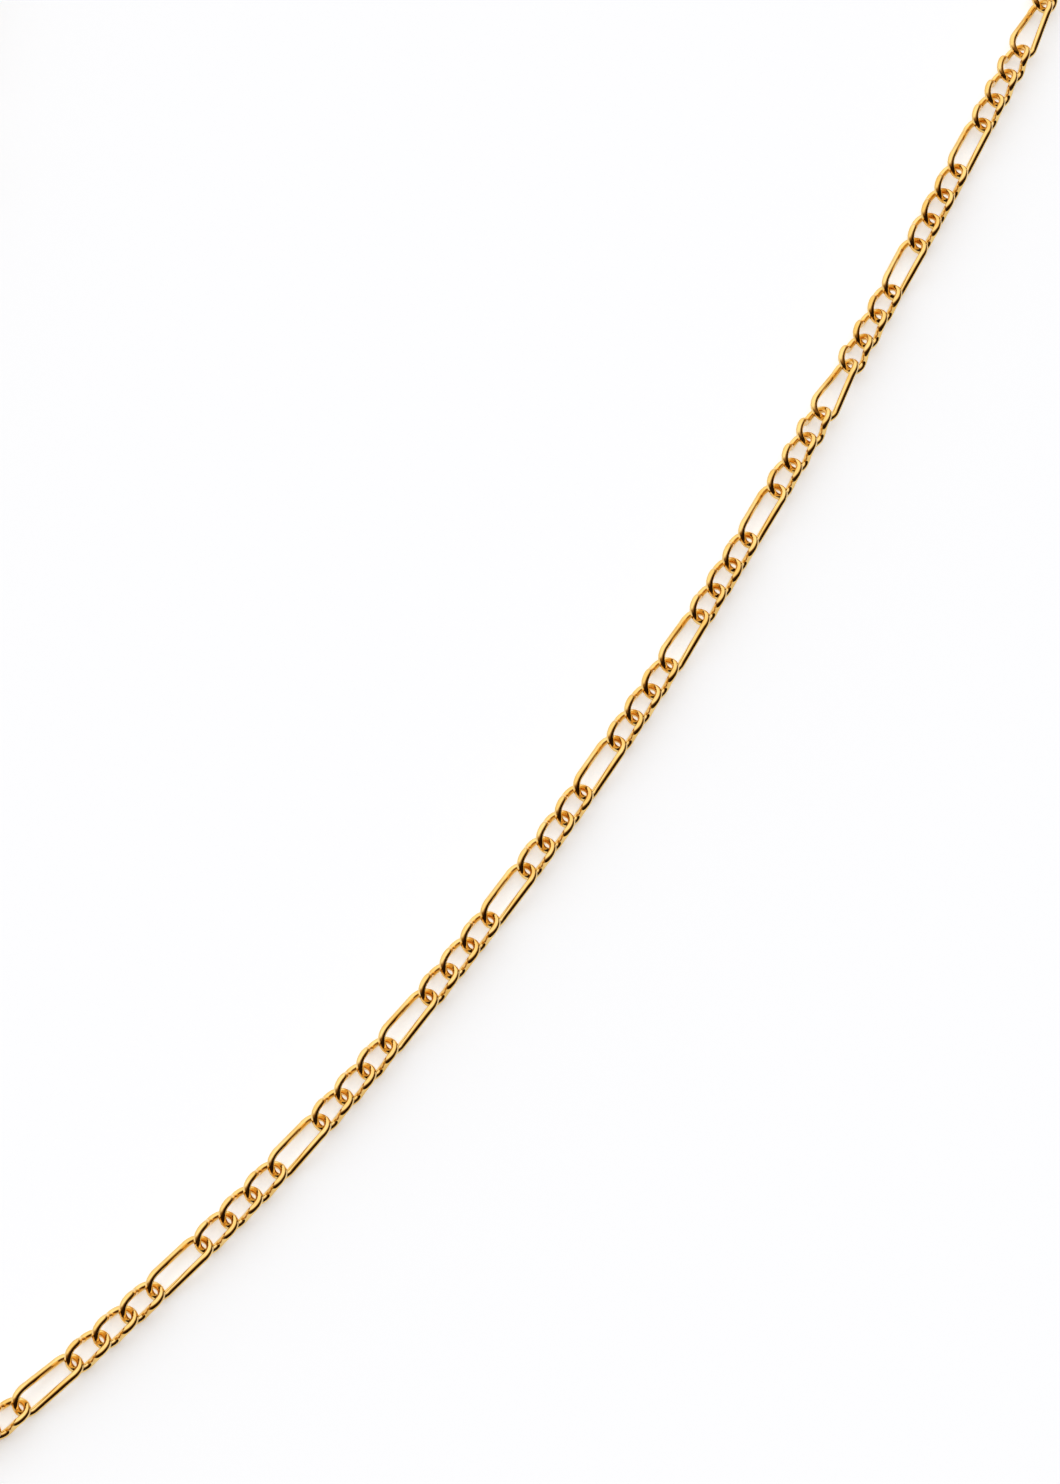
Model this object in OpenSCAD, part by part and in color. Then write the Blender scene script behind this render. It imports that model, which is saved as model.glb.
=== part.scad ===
/* [Chain links] */
// Length of a long link, outside
long_length = 7.4; // [6.6:0.02:8.2]
// Length of a short link, outside
short_length = 4.66; // [4.4:0.02:5.4]
// Width of every link, outside
link_width = 2.6; // [2.5:0.02:2.8]
// Thickness of the wire of every link
link_wire = 0.68; // [0.5:0.02:0.7]
// Clear gap between two linked wires
link_gap = 0.18; // [0.16:0.01:0.2]

/* [Chain] */
// Short links between two long links
shorts_between = 3; // [3:1:5]
// Long links, each followed by its short links, before the last long link
repeats = 30; // [26:1:34]

/* [Clasp] */
// Outer diameter of the clasp's ring
clasp_diameter = 6; // [5:0.1:8]
// Thickness of the clasp's ring
clasp_wire = 1.1; // [0.8:0.05:1.2]
// Outer diameter of the eye soldered to the clasp
eye_diameter = 2.9; // [2.8:0.05:3.4]
// Thickness of the eye's wire
eye_wire = 0.7; // [0.6:0.02:0.8]
// Thickness of the wire of the two joining rings at the clasp
joining_wire = 0.7; // [0.6:0.02:0.8]
// Clear gap between the two links that one joining ring joins
joining_play = 0.5; // [0.4:0.02:0.8]

/* [Hidden] */
$fn = 48;
gold = [0.90, 0.70, 0.32];

// Stretches of the loop's way over the surface, from the clasp down the left side and round:
// length in mm, then degrees turned to the left. The shown chain lies on the third to seventh.
stretches = [
  [114.7, 0], [40.4, 140.1],
  [38.7, 9.1], [38.7, 6.4], [38.7, 4], [38.8, 2], [19.3, 0.4],
  [39.8, 126.8], [69.2, 0], [26.1, 71.2], [12, 0]
];
first_heading = 264.1;
// Distance along the way at which the clasp's end ring starts
clasp_place = 10.25;
// Longest step in which the way is followed
longest_step = 2;

// Roll of the shown long links about the chain's own line, in degrees. The short links between
// two of them turn step by step from one roll to the next.
lie = [0, 2, -2, -4, 0, -2, -8, -2, -22, -2, -6, -22];
// Repeats between the clasp and the shown stretch
first_shown = 9;
// Roll of the hidden links and of the joining rings at the clasp
lie_hidden = 0;
lie_joining = 66;
// Links over which the chain comes down from the clasp to the surface
lift_links = 24;

// Kinds of link round the loop
LONG = 0;
SHORT = 1;
JOINING = 2;
CLASP = 3;

joining_diameter =
  2 * joining_wire + clasp_wire + max(link_wire, eye_wire) + 2 * link_gap + joining_play;
// The eye sinks into the clasp's ring by this share of the thinner wire, as solder joins them
solder_share = 0.8;
clasp_length = clasp_diameter + eye_diameter - solder_share * min(eye_wire, clasp_wire);

// Links round the loop, in order: the clasp, its joining ring, the chain and the end ring
period = 1 + shorts_between;
link_count = round(repeats) * period + 1;
total = link_count + 3;
function in_chain(k) = k - 2;
function kind(k) =
  let (n = (k + total) % total)
  n == 0 ? CLASP :
  n == 1 || n == total - 1 ? JOINING :
  in_chain(n) % period == 0 ? LONG : SHORT;

// Wire at the end of a link that lies towards the start, side 0, or away from it, side 1
function wire(k, side) =
  let (t = kind(k))
  t == LONG || t == SHORT ? link_wire :
  t == JOINING ? joining_wire :
  side == 1 ? eye_wire : clasp_wire;
function outer_length(k) =
  let (t = kind(k))
  t == LONG ? long_length :
  t == SHORT ? short_length :
  t == JOINING ? joining_diameter : clasp_length;

// Distance between the middles of the two wires that meet before link k
function crossing(k) = (wire(k - 1, 1) + wire(k, 0)) / 2 + link_gap;
function centre_line(k) = outer_length(k) - (wire(k, 0) + wire(k, 1)) / 2;
function stride(k) = centre_line(k) - crossing(k) / 2 - crossing(k + 1) / 2;

// Length along the loop at which each link starts
function starts(k = 0, s = 0) = k > total ? [] : concat([s], starts(k + 1, s + stride(k)));
start = starts();
loop_length = start[total];

// The way as short steps, closed by sharing what is left open over all of them
steps = [
  for (stretch = stretches)
  let (count = ceil(stretch[0] / longest_step))
  for (n = [1 : count]) stretch / count
];
function walk(n, heading, at) =
  n == len(steps) ? [at] :
  let (middle = heading + steps[n][1] / 2)
  concat([at], walk(n + 1, heading + steps[n][1], at + steps[n][0] * [cos(middle), sin(middle)]));
walked = walk(0, first_heading, [0, 0]);
left_open = walked[len(steps)] - walked[0];
way = [for (n = [0 : len(steps)]) walked[n] - left_open * n / len(steps)];
function distances(n = 0, s = 0) =
  n >= len(way) ? [] :
  concat([s], distances(n + 1, n + 1 < len(way) ? s + norm(way[n + 1] - way[n]) : s));
distance = distances();
way_length = distance[len(way) - 1];
way_scale = loop_length / way_length;
table_x = [for (n = [0 : len(way) - 1]) [distance[n], way[n][0]]];
table_y = [for (n = [0 : len(way) - 1]) [distance[n], way[n][1]]];
function middle_of(list) = (min(list) + max(list)) / 2;
way_middle = [middle_of([for (p = way) p[0]]), middle_of([for (p = way) p[1]])];
function place(s) =
  let (w = (s / way_scale + clasp_place + way_length) % way_length)
  way_scale * ([lookup(w, table_x), lookup(w, table_y)] - way_middle);

// A link has two half-round ends, rolled to opposite sides, and two sides that run from the low
// half of one end to the high half of the other: a short start, a bend, a straight, a second bend
// and a short start again. The roll and the slopes are angles whose cosine and sine are short
// decimals, and the bend lengths keep to whole steps, so that all parts of the wire meet exactly.
end_roll = [0.8, 0.6];
slopes = [[0.936, 0.352], [0.8, 0.6], [0.6, 0.8], [0.28, 0.96]];
tightest_bend = 0.8 * link_wire;
side_start = 0.06;
end_step = 0.008;
bend_step = 0.004;
end_reach = round((link_width - link_wire) / 2 / end_roll[0] / end_step) * end_step;
half_width = end_reach * end_roll[0];
end_rise = end_reach * end_roll[1];
steepest = len(slopes) - 1;
function end_middle(t) = ((t == LONG ? long_length : short_length) - link_wire) / 2 - end_reach;
function exact_bend(t, n) =
  ((end_middle(t) - side_start) * slopes[n][1] - end_rise * slopes[n][0]) / (1 - slopes[n][0]);

// Number of the gentlest slope whose bends aren't too tight
function slope_number(t, n = 0) =
  n == steepest || exact_bend(t, n) >= tightest_bend ? n : slope_number(t, n + 1);
function slope(t) = slopes[slope_number(t)];
function bend_reach(t) =
  let (n = slope_number(t), exact = exact_bend(t, n))
  n == steepest ? round(exact / bend_step) * bend_step : exact;
function half_straight(t) = (end_rise - bend_reach(t) * (1 - slope(t)[0])) / slope(t)[1];
function start_length(t) =
  end_middle(t) - bend_reach(t) * slope(t)[1] - half_straight(t) * slope(t)[0];

// Half the height of a rolled link: its ends and its sides reach up and down alike
function stand(roll) = link_wire / 2 + half_width * abs(sin(roll)) + end_rise * cos(roll);

// Roll of each link about the chain's own line: flat is 0 and upright is 90. The ring after
// the clasp and the one before it lean to opposite sides, across the twisted ends they join.
function chain_roll(k) =
  lookup(in_chain(k) / period - first_shown, concat(
    [[-1, lie_hidden]],
    [for (n = [0 : len(lie) - 1]) [n, lie[n]]],
    [[len(lie), lie_hidden]]
  ));
function roll(k) =
  let (t = kind(k))
  t == CLASP ? 0 :
  t == JOINING ? (k == 1 ? -lie_joining : lie_joining) :
  chain_roll(k);

// The chain lies on the surface. The joining rings stand on it too and lift the clasp and,
// less and less, the links at the chain's two ends.
joining_stand = (joining_diameter - joining_wire) / 2 * sin(lie_joining) + joining_wire / 2;
function lift(k) = max(0, 1 - max(0, min(in_chain(k) + 1, total - 1 - k)) / lift_links);
function height(k) =
  kind(k) == JOINING || kind(k) == CLASP ? joining_stand :
  stand(roll(k)) + lift(k) * (joining_stand - stand(roll(k)));

module at_link(k) {
  a = place(start[k]);
  b = place(start[k + 1]);
  along = (b - a) / norm(b - a);
  shift = (crossing(k + 1) - crossing(k) - wire(k, 0) + wire(k, 1)) / 4;
  middle = (a + b) / 2 + along * shift;
  translate([middle[0], middle[1], height(k)])
    rotate([0, 0, atan2(along[1], along[0])])
      rotate([roll(k), 0, 0])
        children();
}

module wire_ring(diameter, thickness) {
  rotate_extrude()
    translate([(diameter - thickness) / 2, 0])
      circle(d = thickness);
}

module bent_wire(radius, angle) {
  rotate_extrude(angle = angle)
    translate([radius, 0])
      circle(d = link_wire);
}

module straight_wire(length) {
  rotate([0, 90, 0])
    cylinder(d = link_wire, h = length, center = true);
}

module twisted_link(t) {
  c = slope(t)[0];
  s = slope(t)[1];
  for (turn = [0, 180])
    rotate([0, 0, turn]) {
      translate([end_middle(t), 0, 0])
        multmatrix([[1, 0, 0, 0], [0, end_roll[0], end_roll[1], 0], [0, -end_roll[1], end_roll[0], 0]])
          rotate([0, 0, -90])
            bent_wire(end_reach, 180);
      for (over = [0, 180])
        rotate([over, 0, 0]) {
          translate([end_middle(t) - start_length(t) / 2, half_width, -end_rise])
            straight_wire(start_length(t));
          translate([end_middle(t) - start_length(t), half_width, bend_reach(t) - end_rise])
            multmatrix([[0, -1, 0, 0], [0, 0, 1, 0], [-1, 0, 0, 0]])
              bent_wire(bend_reach(t), acos(c));
        }
      translate([0, half_width, 0])
        multmatrix([[c, 0, s, 0], [0, 1, 0, 0], [-s, 0, c, 0]])
          straight_wire(2 * half_straight(t));
    }
}

module link(k) {
  at_link(k) {
    if (kind(k) == JOINING) wire_ring(joining_diameter, joining_wire);
    if (kind(k) == LONG || kind(k) == SHORT) twisted_link(kind(k));
  }
}

// Last link of the half that starts at the clasp's eye
half_way = 2 + floor(link_count / 2);

module chain_left() {
  color(gold)
    for (k = [2 : half_way]) link(k);
}

module chain_right() {
  color(gold)
    for (k = [half_way + 1 : total - 2]) link(k);
}

// A ring clasp with its eye, soldered into one piece
module clasp() {
  color(gold)
    at_link(0) {
      translate([-(clasp_length - clasp_diameter) / 2, 0, 0])
        wire_ring(clasp_diameter, clasp_wire);
      translate([(clasp_length - eye_diameter) / 2, 0, 0])
        wire_ring(eye_diameter, eye_wire);
    }
}

module clasp_joining_ring() {
  color(gold) link(1);
}

module end_joining_ring() {
  color(gold) link(total - 1);
}

chain_left();
chain_right();
clasp();
clasp_joining_ring();
end_joining_ring();
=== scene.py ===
import math

import bmesh
import bpy
import numpy as np
from mathutils import Euler, Matrix, Vector


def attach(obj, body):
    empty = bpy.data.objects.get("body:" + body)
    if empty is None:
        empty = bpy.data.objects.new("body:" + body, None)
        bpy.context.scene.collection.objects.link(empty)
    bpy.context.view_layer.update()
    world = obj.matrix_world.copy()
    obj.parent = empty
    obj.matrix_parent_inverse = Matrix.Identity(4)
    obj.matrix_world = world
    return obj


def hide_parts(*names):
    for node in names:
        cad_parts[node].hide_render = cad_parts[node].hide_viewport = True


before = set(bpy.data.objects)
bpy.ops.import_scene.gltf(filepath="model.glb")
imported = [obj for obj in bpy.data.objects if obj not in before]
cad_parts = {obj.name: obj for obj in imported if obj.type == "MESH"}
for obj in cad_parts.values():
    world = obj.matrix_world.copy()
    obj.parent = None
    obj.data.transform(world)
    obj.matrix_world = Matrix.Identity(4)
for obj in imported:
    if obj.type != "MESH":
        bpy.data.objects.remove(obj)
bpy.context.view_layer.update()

bl_info = {
    "name": "Gold neck chain",
    "version": (1, 0, 0),
    "blender": (4, 5, 0),
    "location": "View3D > Sidebar > Chain",
    "description": "Smooth gold links, clasp and studio for the packed neck chain",
    "category": "Object",
}

MM = 0.001
BODY = "root"

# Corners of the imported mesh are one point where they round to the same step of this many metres.
SAME_POINT = 1e-6
# A link is a long one when it is longer than the shortest link by more than this factor.
LONG_FACTOR = 1.2
# Two places on the wire are joined by a straight when they lie less than this off one line, in metres.
STRAIGHT_WITHIN = 1e-7
# A bend of more than this angle gets the steps of a tight bend.
TIGHT_BEND = math.radians(50)
# Smoothing puts a point of a line or ring at (before + 4 * own + after) / 6.
OWN_WEIGHT = 4
ALL_WEIGHTS = 6
# The marks on the wire start this many mm further on with each link.
MARKS_STEP = 17.3

# Changes of the noise in a mm: along the wire and round it on a link, in X, Y and Z on the clasp.
LINES_PER_MM = (0.5, 9.0, 9.0)
PATCHES_PER_MM = (0.35, 0.8, 0.8)
LINES_DETAIL = 3.0
PATCHES_DETAIL = 2.0
# Strength and depth of the bumps that the drawing lines and the patches make.
LINES_BUMP = (0.35, 0.004 * MM)
PATCHES_BUMP = (0.5, 0.03 * MM)
# Levels of the patches up to which the gold is deep, and from which it is pale.
DEEP_UP_TO = 0.35
PALE_FROM = 0.6
# Levels of lines times patches up to which the wire is polished, and from which it is satin.
POLISHED_UP_TO = 0.16
SATIN_FROM = 0.42

# Cosines of the angle to the light tent's brightest side, where each of its colours stands.
TENT_DARK = 0.05
TENT_WARM = 0.36
TENT_BRIGHT = 0.66
FLOOR_ROUGHNESS = 0.7
FLOOR_SHINE = 0.2
# From the floor's middle to its edge, in metres.
FLOOR_REACH = 3.0
# Height of the camera's sensor in mm, and the nearest and furthest that it sees in metres.
SENSOR_HEIGHT = 36
NEAREST = 0.01
FURTHEST = 10


class LinkSizes(bpy.types.PropertyGroup):
    """The wire of the chain's links and how finely it is meshed before it is smoothed"""

    wire: bpy.props.FloatProperty(
        name="Wire",
        description="Thickness of the wire of every link",
        subtype="DISTANCE",
        unit="LENGTH",
        default=0.68 * MM,
        min=0.3 * MM,
    )
    short_slope: bpy.props.FloatProperty(
        name="Slope of short links",
        description="How steeply a short link's sides rise, halfway between its ends",
        subtype="ANGLE",
        default=math.asin(0.96),
    )
    long_slope: bpy.props.FloatProperty(
        name="Slope of long links",
        description="How steeply a long link's sides rise, halfway between its ends",
        subtype="ANGLE",
        default=math.asin(0.352),
    )
    wire_sides: bpy.props.IntProperty(
        name="Wire sides",
        description="Faces round a wire before smoothing",
        default=6,
        min=5,
        max=16,
    )
    end_steps: bpy.props.IntProperty(
        name="Steps in tight bends",
        description="Faces along each bend of more than 50 degrees before smoothing",
        default=3,
        min=2,
        max=12,
    )
    side_steps: bpy.props.IntProperty(
        name="Steps along the sides",
        description="Faces along each wide bend, and along a straight side, before smoothing",
        default=2,
        min=1,
        max=12,
    )
    smoothing: bpy.props.IntProperty(
        name="Smoothing",
        description="Subdivision levels on every link",
        default=1,
        min=1,
        max=2,
    )


class GoldFinish(bpy.types.PropertyGroup):
    """The polished gold of the wire"""

    gold: bpy.props.FloatVectorProperty(
        name="Gold",
        description="Colour of the polished wire",
        subtype="COLOR",
        size=3,
        min=0,
        max=1,
        default=(0.9, 0.62, 0.23),
    )
    deep_gold: bpy.props.FloatVectorProperty(
        name="Deep gold",
        description="Colour of the warmer patches of the wire",
        subtype="COLOR",
        size=3,
        min=0,
        max=1,
        default=(0.8, 0.49, 0.13),
    )
    polish: bpy.props.FloatProperty(
        name="Polish roughness",
        description="Roughness of the best polished wire",
        subtype="FACTOR",
        default=0.06,
        min=0,
        max=1,
    )
    satin: bpy.props.FloatProperty(
        name="Satin roughness",
        description="Roughness where drawing lines are left in the wire",
        subtype="FACTOR",
        default=0.17,
        min=0,
        max=1,
    )


class StudioSet(bpy.types.PropertyGroup):
    """Floor, light and camera"""

    floor_colour: bpy.props.FloatVectorProperty(
        name="Floor",
        description="Colour of the floor",
        subtype="COLOR",
        size=3,
        min=0,
        max=1,
        default=(0.84, 0.9, 0.97),
    )
    floor_glow: bpy.props.FloatProperty(
        name="Floor glow",
        description="Light that comes through the floor from below, as on a light table",
        default=0.5,
        min=0,
    )
    tent_light: bpy.props.FloatProperty(
        name="Tent light",
        description="Strength of the whole light tent",
        default=1.3,
        min=0,
    )
    warm_side: bpy.props.FloatVectorProperty(
        name="Warm side",
        description="Colour of the light tent between its bright and its dark side",
        subtype="COLOR",
        size=3,
        min=0,
        max=1,
        default=(0.26, 0.14, 0.05),
    )
    dark_side: bpy.props.FloatVectorProperty(
        name="Dark side",
        description="Colour of the light tent's dark side",
        subtype="COLOR",
        size=3,
        min=0,
        max=1,
        default=(0.015, 0.007, 0.003),
    )
    light_from: bpy.props.FloatVectorProperty(
        name="Light from",
        description="Direction in which the light tent is brightest",
        subtype="DIRECTION",
        size=3,
        default=(-0.55, 0.7, 0.45),
    )
    camera_height: bpy.props.FloatProperty(
        name="Camera elevation",
        description="Angle of the camera above the floor",
        subtype="ANGLE",
        default=math.radians(65),
    )
    camera_turn: bpy.props.FloatProperty(
        name="Camera turn",
        description="Turn of the camera about the upright, from its place at the loop's -Y end",
        subtype="ANGLE",
        default=math.radians(-30.744),
    )
    camera_roll: bpy.props.FloatProperty(
        name="Camera roll",
        description="Turn of the camera about its own line of sight",
        subtype="ANGLE",
        default=math.radians(35.92),
    )
    camera_distance: bpy.props.FloatProperty(
        name="Camera distance",
        description="Distance from the camera to the point it looks at",
        subtype="DISTANCE",
        unit="LENGTH",
        default=0.4565,
        min=0.1,
    )
    lens: bpy.props.FloatProperty(
        name="Lens",
        description="Focal length, over a sensor 36 mm high",
        unit="CAMERA",
        default=124.35,
        min=20,
    )
    aim: bpy.props.FloatVectorProperty(
        name="Aim",
        description="Point that the camera looks at, as high as the links' middle",
        subtype="TRANSLATION",
        unit="LENGTH",
        size=3,
        default=(0.0108, -0.0179, 0.0011),
    )


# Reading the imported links


def packed_links(node):
    """Middle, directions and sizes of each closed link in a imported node, in the chain's order"""
    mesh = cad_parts[node].data
    places = np.empty(len(mesh.vertices) * 3)
    mesh.vertices.foreach_get("co", places)
    places = places.reshape(-1, 3)
    corners = np.empty(len(mesh.polygons) * 3, dtype=int)
    mesh.polygons.foreach_get("vertices", corners)
    corners = corners.reshape(-1, 3)
    # Corners at one place are one point, so that the faces of a link hang together.
    grid = np.round(places / SAME_POINT).astype(int)
    grid -= grid.min(axis=0)
    cell = np.ravel_multi_index(tuple(grid.T), tuple(grid.max(axis=0) + 1))
    _, point = np.unique(cell, return_inverse=True)
    # A link ends where each point that its faces use has been used for the last time.
    used = point[corners].ravel()
    face = np.repeat(np.arange(len(corners)), 3)
    first = np.zeros(point.max() + 1, dtype=int)
    last = np.zeros(point.max() + 1, dtype=int)
    first[used[::-1]] = face[::-1]
    last[used] = face
    open_points = np.cumsum(
        np.bincount(first, minlength=len(corners)) - np.bincount(last, minlength=len(corners))
    )
    ends = np.flatnonzero(open_points == 0) + 1
    links = []
    for start, end in zip(np.r_[0, ends[:-1]], ends):
        three = places[corners[start:end]]
        square = np.cross(three[:, 1] - three[:, 0], three[:, 2] - three[:, 0])
        area = np.linalg.norm(square, axis=1)
        centres = three.mean(axis=1)
        middle = (centres * area[:, None]).sum(axis=0) / area.sum()
        spread = centres - middle
        _, axes = np.linalg.eigh((spread * area[:, None]).T @ spread)
        reach = (three.reshape(-1, 3) - middle) @ axes
        links.append({"middle": middle, "axes": axes, "size": np.ptp(reach, axis=0)})
    return links


def link_frames(links):
    """A matrix for each link: X along the link, Z square to its flat"""
    for link in links:
        along, normal = link["axes"][:, 2], link["axes"][:, 0]
        if normal[2] < 0:
            normal = -normal
        side = np.cross(normal, along)
        turn = Matrix(np.stack([along, side, normal], axis=1).tolist()).to_4x4()
        link["matrix"] = Matrix.Translation(Vector(link["middle"])) @ turn
    return links


# Link shapes


def link_way(length, width, height, slope, sizes):
    """Points of a twisted link's middle line, each with the direction in which it is left"""
    half_width = (width - sizes.wire) / 2
    rise = (height - sizes.wire) / 2
    end_reach = math.hypot(half_width, rise)
    end = (length - sizes.wire) / 2 - end_reach
    up, over = math.sin(slope), math.cos(slope)
    bend = (end * up - rise * over) / (1 - over)
    straight = (rise - bend * (1 - over)) / up
    quarter = [
        (Vector((end + end_reach, 0, 0)), Vector((0, half_width, -rise)) / end_reach),
        (Vector((end, half_width, -rise)), Vector((-1, 0, 0))),
        (Vector((straight * over, half_width, -straight * up)), Vector((-over, 0, up))),
    ]
    half_turns = {axis: Matrix.Rotation(math.pi, 3, axis) for axis in "XYZ"}

    def turned(axis, backwards):
        sign = -1 if backwards else 1
        turn = half_turns[axis]
        new = [(turn @ place, sign * (turn @ line)) for place, line in quarter]
        return new[::-1] if backwards else new

    return quarter + turned("Y", True) + turned("Z", False)[1:] + turned("X", True)


def bend_between(place, line, goal):
    """Middle, axis and angle of the bend that leaves a place along a line, or None for a straight"""
    chord = goal - place
    aside = chord - line * line.dot(chord)
    if aside.length < STRAIGHT_WITHIN:
        return None
    inward = aside.normalized()
    radius = chord.length_squared / (2 * inward.dot(chord))
    angle = 2 * math.atan2(inward.dot(chord), line.dot(chord))
    return place + radius * inward, (-inward).cross(line), angle


def carried_on(bm, edges, line, bend, steps, step_length):
    """Corners and edges of a ring of edges that is carried one step along a bend or a straight"""
    if bend:
        centre, axis, angle = bend
        new = bmesh.ops.spin(
            bm, geom=edges, cent=centre, axis=axis, angle=angle / steps, steps=1
        )["geom_last"]
    else:
        new = bmesh.ops.extrude_edge_only(bm, edges=edges)["geom"]
    verts = [item for item in new if isinstance(item, bmesh.types.BMVert)]
    if not bend:
        bmesh.ops.translate(bm, verts=verts, vec=line * step_length)
    kept = set(verts)
    new_edges = [item for item in new if isinstance(item, bmesh.types.BMEdge)]
    return verts, [edge for edge in new_edges if kept.issuperset(edge.verts)]


def widen_bends(bm, sections):
    """Move each ring of the wire outwards by as much as smoothing draws it into its bend"""
    centres = [sum((vert.co for vert in verts), Vector()) / len(verts) for verts in sections]
    for number, verts in enumerate(sections):
        before, here = centres[number - 1], centres[number]
        after = centres[(number + 1) % len(sections)]
        ahead = (after - before).normalized()
        drawn_in = (before + after - 2 * here) / ALL_WEIGHTS
        bmesh.ops.translate(bm, verts=verts, vec=ahead * ahead.dot(drawn_in) - drawn_in)


def unroll_wire(bm, round_wire, along_wire, run, girth):
    """Lay the wire out flat for its marks, in mm: X along it and Y round it"""
    uv = bm.loops.layers.uv.new("wire")
    for face in bm.faces:
        runs = [loop.vert[along_wire] for loop in face.loops]
        turns = [loop.vert[round_wire] for loop in face.loops]
        for loop, here, turn in zip(face.loops, runs, turns):
            # The faces that close the link and the round of the wire end a whole turn further on.
            if max(runs) - here > run / 2:
                here += run
            if max(turns) - turn > 1 / 2:
                turn += 1
            loop[uv].uv = (here / MM, turn * girth / MM)


def order_by_corners(bm):
    """Put edges and faces in the order of their corners, as bmesh makes them in no fixed order"""
    bm.verts.index_update()
    for parts in (bm.edges, bm.faces):
        in_order = sorted(parts, key=lambda part: sorted(vert.index for vert in part.verts))
        for number, part in enumerate(in_order):
            part.index = number
        parts.sort()


def link_shape(length, width, height, slope, sizes):
    """A closed, twisted link of round wire, made by turning a ring of edges from bend to bend"""
    bm = bmesh.new()
    round_wire = bm.verts.layers.float.new("round_wire")
    along_wire = bm.verts.layers.float.new("along_wire")
    way = link_way(length, width, height, slope, sizes)
    sides = sizes.wire_sides
    # Smoothing draws a ring of points in, so it starts out by as much too wide.
    radius = sizes.wire / 2 * ALL_WEIGHTS / (OWN_WEIGHT + 2 * math.cos(math.tau / sides))
    start_at, start_line = way[0]
    start_turn = start_line.to_track_quat("Z", "X").to_matrix().to_4x4()
    made = bmesh.ops.create_circle(
        bm,
        cap_ends=False,
        segments=sides,
        radius=radius,
        matrix=Matrix.Translation(start_at) @ start_turn,
    )["verts"]
    for number, vert in enumerate(made):
        vert[round_wire] = number / sides
    sections = [made]
    first_edges = edges = bm.edges[:]
    run = 0.0
    for number, ((place, line), (goal, _)) in enumerate(zip(way, way[1:])):
        bend = bend_between(place, line, goal)
        tight = bend is not None and abs(bend[2]) > TIGHT_BEND
        steps = sizes.end_steps if tight else sizes.side_steps
        step_length = (goal - place).length / steps
        if bend:
            step_length = (place - bend[0]).length * bend[2] / steps
        for step in range(steps):
            run += step_length
            # The last step is left open, and closes onto the first ring.
            if number == len(way) - 2 and step == steps - 1:
                break
            verts, edges = carried_on(bm, edges, line, bend, steps, step_length)
            for vert in verts:
                vert[along_wire] = run
            sections.append(verts)
    bmesh.ops.bridge_loops(bm, edges=edges + first_edges)
    widen_bends(bm, sections)
    bmesh.ops.recalc_face_normals(bm, faces=bm.faces)
    order_by_corners(bm)
    unroll_wire(bm, round_wire, along_wire, run, math.pi * sizes.wire)
    return bm


def joined_links(name, links, sizes):
    """One mesh with every link of a node at its own place"""
    whole = bmesh.new()
    uv = whole.loops.layers.uv.new("wire")
    short_length = min(link["size"][2] for link in links)
    shapes = {}
    for number, link in enumerate(links):
        height, width, length = link["size"]
        key = "long" if length > LONG_FACTOR * short_length else "short"
        if key not in shapes:
            slope = sizes.long_slope if key == "long" else sizes.short_slope
            shapes[key] = link_shape(length, width, height, slope, sizes)
        own = bpy.data.meshes.new("one_link")
        shapes[key].to_mesh(own)
        own.transform(link["matrix"])
        before = len(whole.faces)
        whole.from_mesh(own)
        whole.faces.ensure_lookup_table()
        # Each link has its own stretch of the wire, so that no two in a node show the same marks.
        stretch = MARKS_STEP * number
        for face in whole.faces[before:]:
            face.smooth = True
            for loop in face.loops:
                loop[uv].uv.x += stretch
        bpy.data.meshes.remove(own)
    for shape in shapes.values():
        shape.free()
    mesh = bpy.data.meshes.new(name)
    whole.to_mesh(mesh)
    whole.free()
    piece = bpy.data.objects.new(name, mesh)
    bpy.context.scene.collection.objects.link(piece)
    smooth = piece.modifiers.new("smooth", "SUBSURF")
    smooth.levels = smooth.render_levels = sizes.smoothing
    return piece


# Gold


def node_at(tree, kind, x, y, **values):
    """A new shader node at a place in the node editor"""
    node = tree.nodes.new(kind)
    node.location = (x, y)
    for name, value in values.items():
        setattr(node, name, value)
    return node


def wire_noise(tree, where, scale, detail, y):
    """Noise over the wire, finer or coarser along it than round it"""
    placed = node_at(tree, "ShaderNodeMapping", -850, y)
    tree.links.new(where, placed.inputs["Vector"])
    placed.inputs["Scale"].default_value = scale
    noise = node_at(tree, "ShaderNodeTexNoise", -600, y)
    tree.links.new(placed.outputs["Vector"], noise.inputs["Vector"])
    noise.inputs["Scale"].default_value = 1.0
    noise.inputs["Detail"].default_value = detail
    return noise.outputs["Fac"]


def wire_bump(tree, height, strength, depth, x):
    """Bumps as high as a noise"""
    bump = node_at(tree, "ShaderNodeBump", x, -250)
    tree.links.new(height, bump.inputs["Height"])
    bump.inputs["Strength"].default_value = strength
    bump.inputs["Distance"].default_value = depth
    return bump


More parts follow.
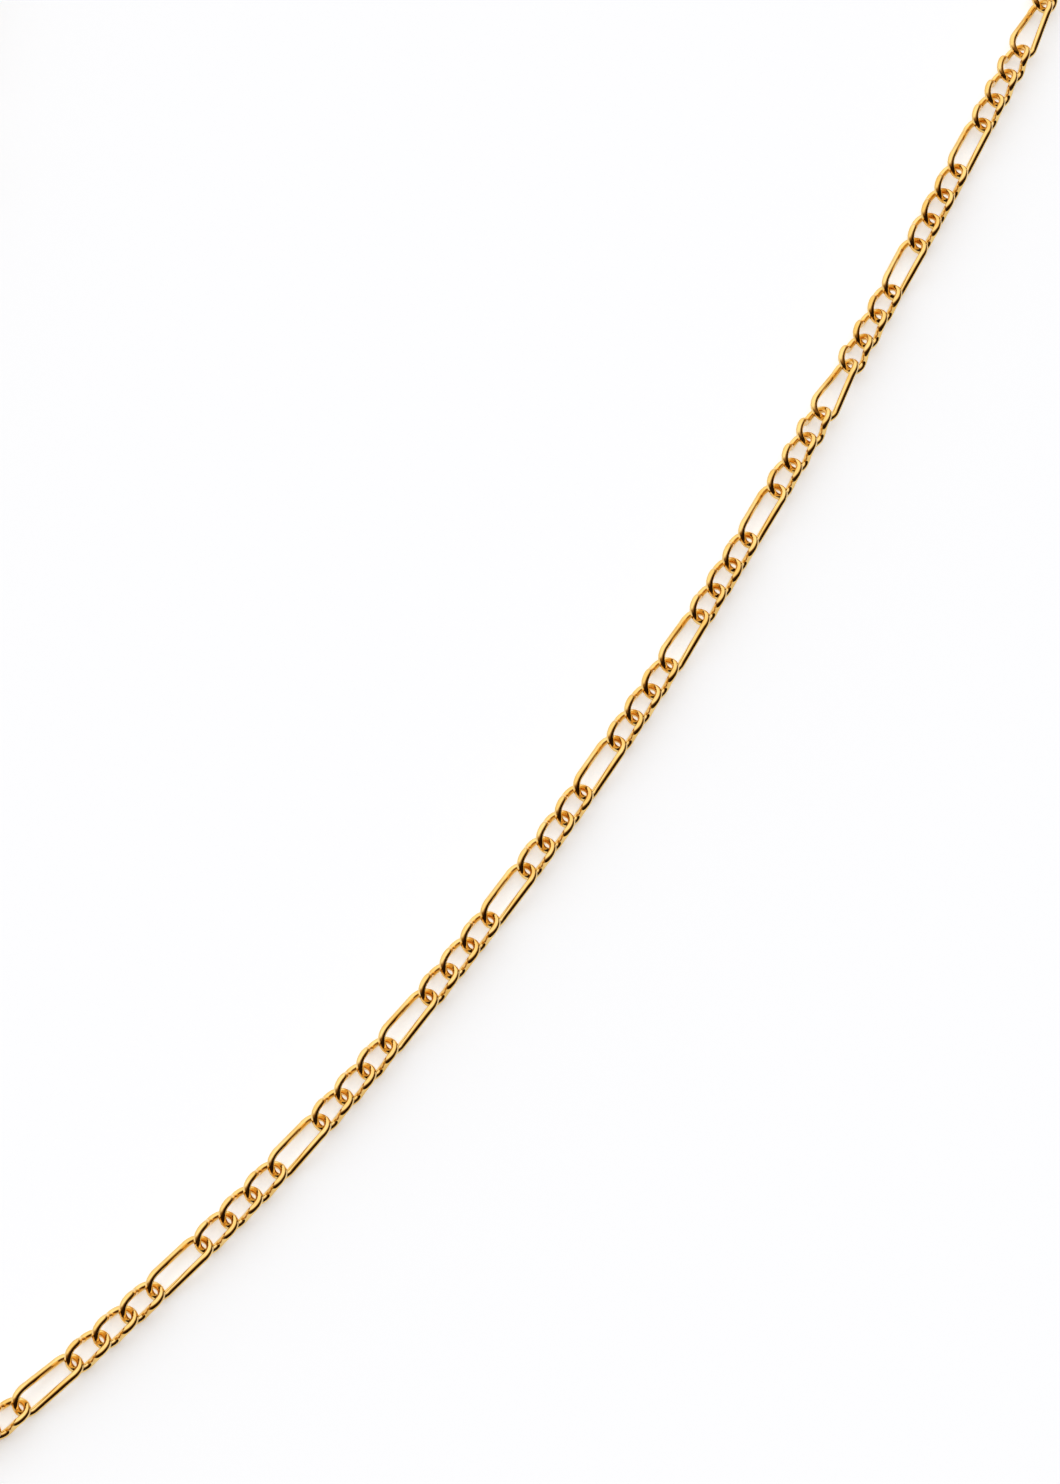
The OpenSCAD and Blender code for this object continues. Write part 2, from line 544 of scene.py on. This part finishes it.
def gold_material(name, finish, follows_wire):
    """Polished gold with faint drawing lines and warmer patches, along the wire or through the piece"""
    material = bpy.data.materials.get(name)
    if material:
        return material
    material = bpy.data.materials.new(name)
    material.use_nodes = True
    material.diffuse_color = (*finish.gold, 1)
    tree = material.node_tree
    tree.nodes.clear()
    link = tree.links.new
    out = node_at(tree, "ShaderNodeOutputMaterial", 900, 0)
    gold = node_at(tree, "ShaderNodeBsdfPrincipled", 600, 0)
    link(gold.outputs["BSDF"], out.inputs["Surface"])
    gold.inputs["Metallic"].default_value = 1.0
    gold.inputs["IOR"].default_value = 1.5
    if follows_wire:
        where = node_at(tree, "ShaderNodeUVMap", -1100, 0, uv_map="wire").outputs["UV"]
        per_mm = 1.0
    else:
        where = node_at(tree, "ShaderNodeTexCoord", -1100, 0).outputs["Object"]
        per_mm = 1 / MM

    lines = wire_noise(tree, where, [n * per_mm for n in LINES_PER_MM], LINES_DETAIL, 200)
    patches = wire_noise(tree, where, [n * per_mm for n in PATCHES_PER_MM], PATCHES_DETAIL, -200)

    warmth = node_at(tree, "ShaderNodeValToRGB", -350, -200)
    link(patches, warmth.inputs["Fac"])
    warmth.color_ramp.elements[0].position = DEEP_UP_TO
    warmth.color_ramp.elements[0].color = (*finish.deep_gold, 1)
    warmth.color_ramp.elements[1].position = PALE_FROM
    warmth.color_ramp.elements[1].color = (*finish.gold, 1)
    link(warmth.outputs["Color"], gold.inputs["Base Color"])

    both = node_at(tree, "ShaderNodeMath", -350, 120, operation="MULTIPLY")
    link(lines, both.inputs[0])
    link(patches, both.inputs[1])
    rough = node_at(tree, "ShaderNodeMapRange", -100, 120)
    link(both.outputs["Value"], rough.inputs["Value"])
    rough.inputs["From Min"].default_value = POLISHED_UP_TO
    rough.inputs["From Max"].default_value = SATIN_FROM
    rough.inputs["To Min"].default_value = finish.polish
    rough.inputs["To Max"].default_value = finish.satin
    link(rough.outputs["Result"], gold.inputs["Roughness"])

    fine = wire_bump(tree, lines, *LINES_BUMP, 150)
    broad = wire_bump(tree, patches, *PATCHES_BUMP, 380)
    link(fine.outputs["Normal"], broad.inputs["Normal"])
    link(broad.outputs["Normal"], gold.inputs["Normal"])
    return material


# Operators


class CHAIN_OT_links(bpy.types.Operator):
    """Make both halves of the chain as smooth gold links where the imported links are"""

    bl_idname = "neckchain.links"
    bl_label = "Links"

    def execute(self, context):
        scene = context.scene
        material = gold_material("polished_gold", scene.gold_finish, True)
        for node in ("chain_left", "chain_right"):
            links = link_frames(packed_links(node))
            piece = joined_links(node + "_links", links, scene.link_sizes)
            piece.data.materials.append(material)
            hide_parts(node)
            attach(piece, BODY)
        return {"FINISHED"}


class CHAIN_OT_clasp(bpy.types.Operator):
    """Polish the clasp and its two joining rings"""

    bl_idname = "neckchain.clasp"
    bl_label = "Clasp"

    def execute(self, context):
        material = gold_material("polished_gold_clasp", context.scene.gold_finish, False)
        for node in ("clasp", "clasp_joining_ring", "end_joining_ring"):
            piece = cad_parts[node]
            piece.data.materials.clear()
            piece.data.materials.append(material)
        return {"FINISHED"}


def floor_material(colour, glow):
    """A pale, matt floor that glows a little"""
    material = bpy.data.materials.new("studio_floor")
    material.use_nodes = True
    shader = material.node_tree.nodes["Principled BSDF"]
    shader.inputs["Base Color"].default_value = (*colour, 1)
    shader.inputs["Roughness"].default_value = FLOOR_ROUGHNESS
    shader.inputs["Specular IOR Level"].default_value = FLOOR_SHINE
    shader.inputs["Emission Color"].default_value = (1, 1, 1, 1)
    shader.inputs["Emission Strength"].default_value = glow
    return material


def studio_world(studio):
    """A light tent, white on the side that the light comes from, then warm, and dark beyond that"""
    world = bpy.data.worlds.new("studio")
    world.use_nodes = True
    tree = world.node_tree
    back = tree.nodes["Background"]
    link = tree.links.new
    sky = node_at(tree, "ShaderNodeTexCoord", -1000, 0).outputs["Generated"]
    toward = node_at(tree, "ShaderNodeVectorMath", -800, 0, operation="DOT_PRODUCT")
    link(sky, toward.inputs[0])
    toward.inputs[1].default_value = Vector(studio.light_from).normalized()
    tent = node_at(tree, "ShaderNodeValToRGB", -600, 0)
    link(toward.outputs["Value"], tent.inputs["Fac"])
    ramp = tent.color_ramp
    ramp.elements[0].position = TENT_DARK
    ramp.elements[0].color = (*studio.dark_side, 1)
    ramp.elements[1].position = TENT_BRIGHT
    ramp.elements[1].color = (1, 1, 1, 1)
    ramp.elements.new(TENT_WARM).color = (*studio.warm_side, 1)
    link(tent.outputs["Color"], back.inputs["Color"])
    back.inputs["Strength"].default_value = studio.tent_light
    return world


class CHAIN_OT_studio(bpy.types.Operator):
    """Lay the pale floor and set the light tent and the camera"""

    bl_idname = "neckchain.studio"
    bl_label = "Studio"

    def execute(self, context):
        scene = context.scene
        studio = scene.studio_set
        bm = bmesh.new()
        bmesh.ops.create_grid(bm, x_segments=1, y_segments=1, size=FLOOR_REACH)
        mesh = bpy.data.meshes.new("floor")
        bm.to_mesh(mesh)
        bm.free()
        floor = bpy.data.objects.new("floor", mesh)
        mesh.materials.append(floor_material(studio.floor_colour, studio.floor_glow))
        scene.collection.objects.link(floor)

        scene.world = studio_world(studio)
        aim = Vector(studio.aim)
        data = bpy.data.cameras.new("camera")
        data.sensor_fit = "VERTICAL"
        data.sensor_height = SENSOR_HEIGHT
        data.lens = studio.lens
        data.clip_start = NEAREST
        data.clip_end = FURTHEST
        camera = bpy.data.objects.new("camera", data)
        turn = Euler((math.pi / 2 - studio.camera_height, 0, studio.camera_turn)).to_matrix()
        camera.location = aim + turn @ Vector((0, 0, studio.camera_distance))
        camera.rotation_euler = (turn @ Matrix.Rotation(studio.camera_roll, 3, "Z")).to_euler()
        scene.collection.objects.link(camera)
        scene.camera = camera
        scene.view_settings.view_transform = "Standard"
        return {"FINISHED"}


class CHAIN_PT_panel(bpy.types.Panel):
    bl_idname = "CHAIN_PT_panel"
    bl_label = "Gold neck chain"
    bl_space_type = "VIEW_3D"
    bl_region_type = "UI"
    bl_category = "Chain"

    def draw(self, context):
        scene = context.scene
        for title, group, operator in (
            ("Links", scene.link_sizes, CHAIN_OT_links),
            ("Gold", scene.gold_finish, CHAIN_OT_clasp),
            ("Studio", scene.studio_set, CHAIN_OT_studio),
        ):
            box = self.layout.box()
            box.label(text=title)
            for name in group.__annotations__:
                box.prop(group, name)
            box.operator(operator.bl_idname)


CLASSES = (
    LinkSizes,
    GoldFinish,
    StudioSet,
    CHAIN_OT_links,
    CHAIN_OT_clasp,
    CHAIN_OT_studio,
    CHAIN_PT_panel,
)


def register():
    for each in CLASSES:
        bpy.utils.register_class(each)
    bpy.types.Scene.link_sizes = bpy.props.PointerProperty(type=LinkSizes)
    bpy.types.Scene.gold_finish = bpy.props.PointerProperty(type=GoldFinish)
    bpy.types.Scene.studio_set = bpy.props.PointerProperty(type=StudioSet)


def unregister():
    del bpy.types.Scene.studio_set
    del bpy.types.Scene.gold_finish
    del bpy.types.Scene.link_sizes
    for each in reversed(CLASSES):
        bpy.utils.unregister_class(each)


def main():
    register()
    bpy.ops.neckchain.links()
    bpy.ops.neckchain.clasp()
    bpy.ops.neckchain.studio()


if __name__ == "__main__":
    main()
